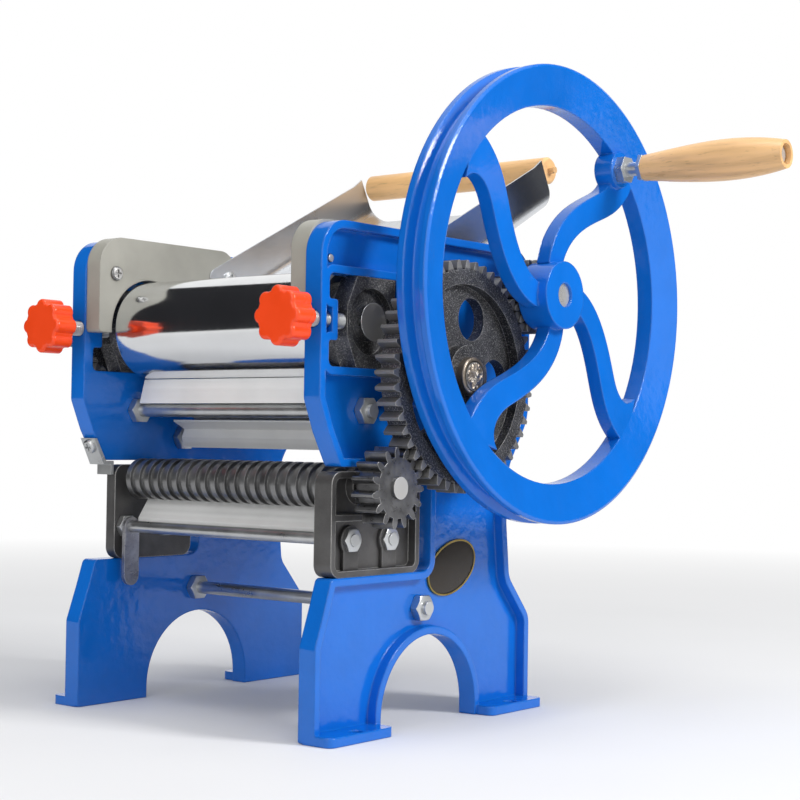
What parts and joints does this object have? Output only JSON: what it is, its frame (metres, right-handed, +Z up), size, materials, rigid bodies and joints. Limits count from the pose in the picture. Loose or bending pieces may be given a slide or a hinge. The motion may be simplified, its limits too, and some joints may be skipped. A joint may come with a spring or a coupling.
{
  "type": "hand-cranked noodle machine",
  "caption": "Hand-cranked tabletop noodle machine with blue enamelled frames, sheeting rollers, spoked handwheel, gear train, feed tray and a lift-out cutter cassette.",
  "frame": {"origin": "centre of the four foot holes, on the surface the feet stand on", "axes": "+Z up, +X along the rollers towards the handwheel side, +Y towards the feed tray at the rear"},
  "size_m": [0.422, 0.369, 0.4343],
  "materials": {
    "blue_enamel": "gloss",
    "dark_iron": "satin",
    "chrome": "polished",
    "bright_steel": "satin",
    "zinc": "satin",
    "cream_plastic": "gloss",
    "red_plastic": "gloss",
    "wood": "satin",
    "bare_aluminium": "satin",
    "stainless": "polished",
    "plaque_dark": "gloss"
  },
  "bodies": {
    "frame": {"right_frame": "blue_enamel", "left_frame": "blue_enamel", "cheek_right": "cream_plastic", "cheek_left": "cream_plastic", "cheek_screws": "zinc", "tray_screws": "zinc", "feed_tray": "stainless", "tie_rod_front": "zinc", "tie_rod_rear": "zinc", "tie_rod_lower": "zinc", "tie_rod_nuts": "zinc", "scraper_front": "bare_aluminium", "scraper_rear": "bare_aluminium", "cassette_plate_right": "dark_iron", "cassette_plate_left": "dark_iron", "cassette_tie_rods": "zinc", "cassette_nuts": "zinc", "cassette_comb_front": "bare_aluminium", "cassette_comb_rear": "bare_aluminium", "hook_bracket": "zinc", "hook_screw": "zinc", "oval_plaque": "plaque_dark"},
    "handwheel": {"handwheel": "blue_enamel", "drive_shaft": "bright_steel", "drive_pinion": "dark_iron", "handle_bolt": "zinc"},
    "handle_grip": {"handle_grip": "wood"},
    "rear_roller": {"rear_roller": "chrome", "drive_gear": "dark_iron", "drive_gear_nut": "zinc", "rear_roller_gear": "dark_iron"},
    "carriage": {"bearing_block_right": "dark_iron", "bearing_block_left": "dark_iron"},
    "front_roller": {"front_roller": "chrome", "front_roller_gear": "dark_iron"},
    "knob_right": {"knob_right": "red_plastic", "adjusting_screw_right": "zinc"},
    "knob_left": {"knob_left": "red_plastic", "adjusting_screw_left": "zinc"},
    "dough_rod": {"dough_rod": "wood"},
    "cutter_front": {"cutter_roller_front": "bright_steel", "cutter_pinion": "dark_iron", "cutter_gear_front": "dark_iron"},
    "cutter_rear": {"cutter_roller_rear": "bright_steel", "cutter_gear_rear": "dark_iron"},
    "latch_tab": {"latch_tab": "zinc"}
  },
  "joints": [
    {"name": "handwheel_spin", "type": "hinge", "parent": "frame", "child": "handwheel", "pos_m": [0, 0.0705, 0.2818], "axis": [1, 0, 0], "continuous": true},
    {"name": "grip_spin", "type": "hinge", "parent": "handwheel", "child": "handle_grip", "pos_m": [0.238, 0.14425, 0.37519], "axis": [1, 0, 0], "continuous": true},
    {"name": "rear_roller_spin", "type": "hinge", "parent": "frame", "child": "rear_roller", "pos_m": [0, -0.005, 0.225], "axis": [1, 0, 0], "continuous": true},
    {"name": "roller_gap", "type": "slide", "parent": "frame", "child": "carriage", "axis": [0, -1, 0], "range_m": [0, 0.004]},
    {"name": "front_roller_spin", "type": "hinge", "parent": "carriage", "child": "front_roller", "pos_m": [0, -0.065, 0.257], "axis": [1, 0, 0], "continuous": true},
    {"name": "knob_right_turn", "type": "hinge", "parent": "carriage", "child": "knob_right", "pos_m": [0.1065, -0.138, 0.2565], "axis": [0, -1, 0], "range_deg": [0, 960]},
    {"name": "knob_left_turn", "type": "hinge", "parent": "carriage", "child": "knob_left", "pos_m": [-0.1065, -0.138, 0.2565], "axis": [0, -1, 0], "range_deg": [0, 960]},
    {"name": "dough_rod_spin", "type": "hinge", "parent": "frame", "child": "dough_rod", "pos_m": [0, 0.174, 0.386], "axis": [1, 0, 0], "continuous": true},
    {"name": "cutter_front_spin", "type": "hinge", "parent": "frame", "child": "cutter_front", "pos_m": [0, -0.0681, 0.1545], "axis": [1, 0, 0], "continuous": true},
    {"name": "cutter_rear_spin", "type": "hinge", "parent": "frame", "child": "cutter_rear", "pos_m": [0, -0.0421, 0.1545], "axis": [1, 0, 0], "continuous": true},
    {"name": "latch_tab_swing", "type": "hinge", "parent": "frame", "child": "latch_tab", "pos_m": [-0.0907, -0.076, 0.1215], "axis": [-1, 0, 0], "range_deg": [0, 90]}
  ],
  "couplings": [
    {"joint": "rear_roller_spin", "follows": "handwheel_spin", "ratio": -0.3125},
    {"joint": "front_roller_spin", "follows": "handwheel_spin", "ratio": 0.3125},
    {"joint": "cutter_front_spin", "follows": "handwheel_spin", "ratio": 1},
    {"joint": "cutter_rear_spin", "follows": "handwheel_spin", "ratio": -1},
    {"joint": "knob_right_turn", "follows": "roller_gap", "rad_per_m": 4188.8},
    {"joint": "knob_left_turn", "follows": "roller_gap", "rad_per_m": 4188.8}
  ]
}
